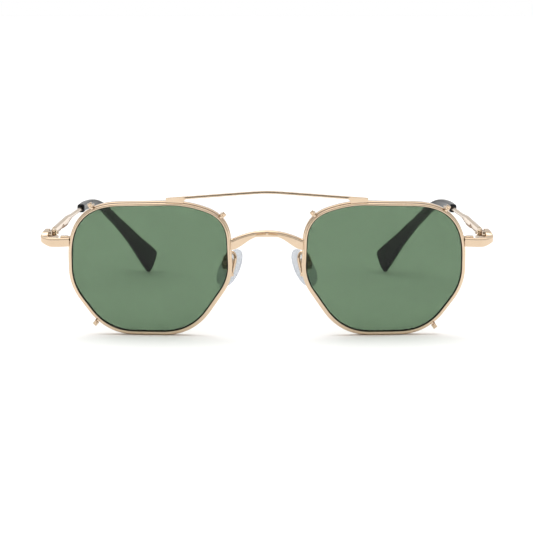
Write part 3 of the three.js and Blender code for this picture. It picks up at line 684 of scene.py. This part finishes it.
def hinge_front(side):
    at = hinge_place(side)
    plate = block((0.2, -4.6, -1.1), (1.3, -1.3, 1.1), at, 0.12)
    low_lug = block((0.25, -1.7, -1.1), (1.25, -0.2, -0.46), at, 0.08)
    high_lug = block((0.25, -1.7, 0.46), (1.25, -0.2, 1.1), at, 0.08)
    return [plate, low_lug, high_lug, barrel(-1.1, -0.46, at), barrel(0.46, 1.1, at)]


def hinge_rear(side):
    at = hinge_place(side)
    leaf = block((-1.3, 0.55, -0.36), (-0.6, 4.8, 0.36), at, 0.1, 3)
    neck = block((-1.3, 0.4, -0.36), (-0.45, 1.5, 0.36), at, 0.08)
    return [leaf, neck, barrel(-0.36, 0.36, at)]


# ------------------------------------------------------------------ temples and tips

# Distance back, across, top edge, lower edge, thickness and the width of the lower inner facet, which takes the
# painted shade.
TEMPLE_LINE = [
    (17.85, 68.4, 32.5, 30.45, 1.3, 0.6), (19.0, 68.36, 32.73, 30.25, 1.4, 0.85),
    (30.5, 67.9, 32.98, 30.23, 1.4, 0.95), (33.2, 67.78, 33.05, 30.2, 1.4, 1.75),
    (34.0, 67.74, 33.07, 30.2, 1.4, 1.8), (36.6, 67.62, 33.13, 30.18, 1.4, 1.0),
    (43.6, 67.32, 33.3, 30.15, 1.4, 1.0), (45.2, 67.27, 33.3, 30.23, 1.4, 1.1),
    (48.5, 67.13, 33.17, 30.67, 1.38, 1.2), (54.5, 66.9, 32.9, 31.5, 1.27, 0.55),
    (57.0, 66.8, 32.83, 31.6, 1.25, 0.36), (66.0, 66.45, 32.75, 31.5, 1.25, 0.33),
    (78.0, 66.0, 32.68, 31.43, 1.25, 0.33), (81.0, 65.88, 32.68, 31.43, 1.25, 0.33),
]


def temple(side):
    rings = []
    for a, b in zip(TEMPLE_LINE, TEMPLE_LINE[1:]):
        for k in range(5):
            t = k / 5
            rings.append([lerp(u, v, t) for u, v in zip(a, b)])
    rings.append(list(TEMPLE_LINE[-1]))
    made = []
    for y, x, top, bottom, thick, facet in rings:
        half = thick / 2
        c = min(thick, top - bottom) / 3.4
        corners = [(-half, bottom + facet), (-half, top - c * 1.25), (-half + c * 0.9, top), (half - c, top),
                   (half, top - c), (half, bottom + c), (half - c, bottom),
                   (-half + min(facet * 0.35, half), bottom)]
        made.append([from_model((side * (x + q.x), y, q.y)) for q in rounded(corners, 0.1, 2)])
    verts, faces = loft(made)
    around = len(made[0])
    # The faces of the lower inner facet take the second material, the painted shade.
    return verts, faces, {r * around + around - 1 for r in range(len(made) - 1)}


TIP_PATH = [(66.0, 78, 32.06), (65.4, 89, 32.01), (63.6, 99.5, 31.4), (61.2, 107.2, 29.2),
            (58.0, 116.9, 24.1), (53.9, 126.7, 17.6), (49.6, 134.2, 10.8), (45.1, 140.4, 3.95)]
# Share along the tip, its height there and its thickness.
TIP_SECTIONS = [(0, 3.0, 2.6), (0.35, 3.2, 2.5), (0.6, 3.6, 2.6), (0.75, 4.9, 2.8), (1, 9.0, 2.9)]
TIP_SLANT = 0.2


def tip_size(share):
    for a, b in zip(TIP_SECTIONS, TIP_SECTIONS[1:]):
        if share <= b[0]:
            t = (share - a[0]) / (b[0] - a[0])
            t = t * 0.5 + smooth(0, 1, t) * 0.5
            return lerp(a[1], b[1], t), lerp(a[2], b[2], t)
    return TIP_SECTIONS[-1][1:]


def tip(side):
    steps, around = 84, 40
    run = curve_points(TIP_PATH, steps)
    rings = []

    def ring(k, grow, shift=0.0, bore=0.0):
        p, way = run[k]
        share = k / steps
        out = Vector((way.y, -way.x, 0)).normalized()
        up = out.cross(way)
        height, thick = tip_size(share)
        slant = TIP_SLANT * smooth(0.7, 1, share)
        points = []
        for s in range(around):
            a = 2 * math.pi * s / around
            ca, sa = math.cos(a), math.sin(a)
            if bore:
                q = p + out * ca * bore + up * sa * bore + way * shift
            else:
                across = math.copysign(abs(ca) ** 0.6, ca) * thick / 2
                rise = math.copysign(abs(sa) ** 0.6, sa) * height / 2
                fade = smooth(0.2, 0.5, share) * (0.4 + 0.6 * (1 - smooth(0.9, 1, share)))
                across += math.copysign(0.12 * math.exp(-(rise / 0.34) ** 2) * fade, ca)
                across, rise = across * grow, rise * grow
                q = p + out * across + up * rise - way * (rise * slant) + way * shift
            points.append(from_model((side * q.x, q.y, q.z)))
        return points

    rings.append(ring(0, 1, 2.6, 0.7))
    rings.append(ring(0, 1, 0.3, 0.72))
    rings.append(ring(0, 1, 0.02, 0.8))
    rings.append(ring(0, 0.9, 0.0))
    rings.append(ring(0, 0.97, 0.06))
    rings.append(ring(0, 1.0, 0.22))
    rings += [ring(k, 1) for k in range(1, steps - 1)]
    for grow, back in ((1.0, -0.42), (0.985, -0.2), (0.94, -0.06), (0.86, 0.0), (0.5, 0.0)):
        rings.append(ring(steps, grow, back))
    return loft(rings)


# ------------------------------------------------------------------ nose pads


# The middle of the left pad's screw, the pad's half length and width, and how far it stands off the screw.
PAD_CENTRE = (12.2, 9.6, 21.4)
PAD_HALF_LENGTH, PAD_HALF_WIDTH, PAD_OFF = 6.7, 3.7, 1.3


def pad_frame(side):
    long = Vector((side * 0.487, 0.05, -0.872)).normalized()
    wide = Vector((side * 0.658, 0.656, 0.367)).normalized()
    skin = (long.cross(wide) * -side).normalized()
    across = skin.cross(long).normalized()
    origin = Vector((side * PAD_CENTRE[0], PAD_CENTRE[1], PAD_CENTRE[2]))
    return lambda p: from_front(origin + long * p[0] + across * p[1] + skin * p[2])


def nose_pad(side):
    at = pad_frame(side)

    def outline(scale, level):
        ring = []
        for k in range(56):
            a = 2 * math.pi * k / 56
            along = PAD_HALF_LENGTH * math.cos(a) * scale
            half = PAD_HALF_WIDTH * math.copysign(abs(math.sin(a)) ** 0.94, math.sin(a))
            wide = half * scale * (1 + 0.13 * math.cos(a))
            ring.append(at((1.2 + along, wide, PAD_OFF + level)))
        return ring

    shape = [(0.2, 0.02), (0.55, 0.0), (0.84, 0.02), (0.93, 0.08), (0.98, 0.22), (1.0, 0.42), (0.995, 0.66),
             (0.965, 0.92), (0.9, 1.18), (0.8, 1.42), (0.66, 1.64), (0.5, 1.82), (0.32, 1.94), (0.14, 1.99)]
    shell = loft([outline(s, h) for s, h in shape])
    boss = block((-1.05, -0.8, -0.35), (1.05, 0.8, 1.5), at, 0.3, 3)
    return [shell, boss]


def pad_cup(side):
    at = pad_frame(side)
    profile = [(1.55, -0.45), (1.6, -0.5), (1.6, 0.75), (1.7, 0.88), (1.95, 0.88), (2.1, 0.7),
               (2.1, -0.75), (1.9, -1.0), (0.25, -1.02), (0.25, -0.52)]
    wall = revolve(profile, at, 40)
    boss = revolve([(0, -1.3), (0.5, -1.28), (0.75, -1.1), (0.8, -0.9), (0, -0.8)], at, 24)
    return [wall, boss]


def pad_screw(side):
    at = pad_frame(side)
    end = 2.1
    lay = lambda p: at((p[0], -side * (end + p[2]), 0.3 + p[1]))
    return slotted_screw(0.34, 4.3, 0.72, 0.42, lay)


ARM = [(11.15, 6.2, 18.6), (11.0, 6.9, 19.2), (10.4, 7.3, 21.2), (9.95, 7.5, 23.6), (10.4, 7.8, 25.2),
       (11.6, 7.75, 25.5), (12.8, 7.6, 24.6), (13.45, 7.8, 23.2), (13.1, 8.5, 21.9)]


def pad_arm(side):
    points = [(side * x, y, z) for x, y, z in ARM]
    shape = lambda t: 0.5 + 0.22 * (1 - smooth(0, 0.1, t)) + 0.12 * smooth(0.92, 1, t)
    return tube(points, shape, 64, 20, from_front)


# ------------------------------------------------------------------ assembly

for name, side in (("left", -1), ("right", 1)):
    on_temple = "temple_" + name

    piece(f"rim_{name}_fine", [rim(side, MAIN, **MAIN_RIM, split=(RIM_SPLIT, LOCK[2] - EYE_Z))],
          GOLD, "front",
          [f"rim_{name}"])
    piece(f"clear_lens_{name}_fine", [lens(side, MAIN, **CLEAR_LENS)[:2]], CLEAR, "front",
          [f"clear_lens_{name}"])
    piece(f"clip_rim_{name}_fine", [rim(side, CLIP, **CLIP_RIM)], GOLD, "clip_on",
          [f"clip_rim_{name}"])
    piece(f"sun_lens_{name}_fine", [lens(side, CLIP, **SUN_LENS)], [SUN, SUN_LENS_EDGE_SHADE], "clip_on",
          [f"sun_lens_{name}"])
    for which, spot in zip(CLAW_NAMES, CLAW_SPOTS[side]):
        piece(f"claw_{which}_{name}_fine", claw(side, spot), GOLD, "clip_on",
              [f"claw_{which}_{name}"])

    piece(f"end_piece_{name}_fine", [end_piece(side), corner_block(side)], GOLD, "front",
          [f"end_piece_{name}"])
    for which, level in (("upper", 1), ("lower", -1)):
        piece(f"rim_lock_{which}_{name}_fine", lock(side, level), GOLD, "front",
              [f"rim_lock_{which}_{name}"])
    under_lock = lambda p, s=side: from_front((s * LOCK[0] + p[0], LOCK_Y - p[1], LOCK[2] - LOCK_FAR - p[2]))
    piece(f"rim_screw_{name}_fine", slotted_screw(0.33, 2.9, 0.7, 0.45, under_lock), STEEL, "front",
          [f"rim_screw_{name}"])

    piece(f"hinge_front_{name}_fine", hinge_front(side), GOLD, "front", [f"hinge_front_{name}"])
    piece(f"hinge_rear_{name}_fine", hinge_rear(side), GOLD, on_temple, [f"hinge_rear_{name}"])
    above = lambda p, s=side: from_model((s * HINGE[0] + p[0], HINGE[1] + p[1], HINGE[2] + 1.16 + p[2]))
    piece(f"hinge_screw_{name}_fine", slotted_screw(0.42, 2.2, 0.75, 0.36, above), STEEL, "front",
          [f"hinge_screw_{name}"])

    piece(f"temple_{name}_fine", [temple(side)], [GOLD, PAINTED_SHADE_GOLD], on_temple,
          [f"temple_{name}"], 24)
    piece(f"temple_tip_{name}_fine", [tip(side)], BLACK, on_temple, [f"temple_tip_{name}"], 50)

    piece(f"nose_pad_{name}_fine", nose_pad(side), SILICONE, f"nose_pad_{name}",
          [f"nose_pad_{name}"], 60)
    piece(f"pad_cup_{name}_fine", pad_cup(side), GOLD, "front", [f"pad_cup_{name}"])
    piece(f"pad_screw_{name}_fine", pad_screw(side), STEEL, "front", [f"pad_screw_{name}"])
    piece(f"pad_arm_{name}_fine", [pad_arm(side)], GOLD, "front", [f"pad_arm_{name}"], 60)

piece("bridge_fine", [cross_bar(BRIDGE_END, BRIDGE_REACH, 96, bridge_section)], GOLD, "front",
      ["bridge"], 42)
piece("brow_bar_fine", [cross_bar(BROW_END, BROW_REACH, 120, brow_section)], GOLD, "clip_on",
      ["brow_bar"], 42)

# ------------------------------------------------------------------ stage, light and camera


def floor():
    m = Nodes("pale_floor")
    grain = m.noise(30, 4)
    shader = m.add("ShaderNodeBsdfPrincipled", {
        "Base Color": m.mix(grain, (0.965, 0.965, 0.965, 1), (0.98, 0.98, 0.98, 1)), "Roughness": 0.9,
        "Specular IOR Level": 0.1})
    bm = bmesh.new()
    bmesh.ops.create_circle(bm, cap_ends=True, radius=30, segments=64)
    mesh = bpy.data.meshes.new("floor")
    bm.to_mesh(mesh)
    bm.free()
    mesh.materials.append(m.done(shader.outputs[0]))
    thing = bpy.data.objects.new("floor", mesh)
    bpy.context.scene.collection.objects.link(thing)


floor()


def studio():
    """White backdrop, a broad bright overhead box, bright sides and a dim room behind the camera."""
    w = Nodes("studio", world=True)
    way = w.add("ShaderNodeTexCoord").outputs["Generated"]
    x, y, z = w.add("ShaderNodeSeparateXYZ", {0: way}).outputs
    front = w.spread(y, -0.15, -0.75, 0, 1)
    low = w.spread(z, 0.08, 0.62, 1, 0)
    dim = w.math("MULTIPLY", front, low, True)
    sides = w.spread(w.math("ABSOLUTE", x), 0.35, 0.8, 0, 1)
    overhead = w.spread(z, 0.72, 0.86, 0, 1)
    level = w.math("ADD", w.math("MULTIPLY", sides, 0.25), 0.8)
    level = w.math("ADD", level, w.math("MULTIPLY", overhead, 0.9))
    level = w.math("MULTIPLY", level, w.math("SUBTRACT", 1.0, w.math("MULTIPLY", dim, 0.8)))
    shine = w.add("ShaderNodeBackground", {"Color": (1, 0.995, 0.985, 1), "Strength": level})
    plate = w.add("ShaderNodeBackground", {"Color": (1, 1, 1, 1), "Strength": 1.0})
    seen = w.add("ShaderNodeLightPath").outputs["Is Camera Ray"]
    both = w.add("ShaderNodeMixShader", {0: seen, 1: shine.outputs[0], 2: plate.outputs[0]})
    w.add("ShaderNodeOutputWorld", {"Surface": both.outputs[0]})
    bpy.context.scene.world = w.owner


studio()


def sun(name, energy, angle, direction):
    light = bpy.data.lights.new(name, "SUN")
    light.energy = energy
    light.angle = math.radians(angle)
    thing = bpy.data.objects.new(name, light)
    thing.rotation_mode = "QUATERNION"
    thing.rotation_quaternion = Vector(direction).to_track_quat("-Z", "Y")
    bpy.context.scene.collection.objects.link(thing)


sun("key", 0.55, 50, (0.25, -0.35, -1))

CAMERA_PLACE = (-0.15, SHIFT - 533, 100.8 + LIFT)
CAMERA_PITCH = math.radians(8.37)

camera = bpy.data.cameras.new("camera")
camera.sensor_width = 36
camera.lens = 117.0
camera.clip_start, camera.clip_end = 0.05, 100
eye = bpy.data.objects.new("camera", camera)
eye.location = Vector(CAMERA_PLACE) * MM
eye.rotation_euler = (math.pi / 2 - CAMERA_PITCH, 0, 0)
bpy.context.scene.collection.objects.link(eye)
bpy.context.scene.camera = eye
bpy.context.scene.view_settings.view_transform = "Standard"
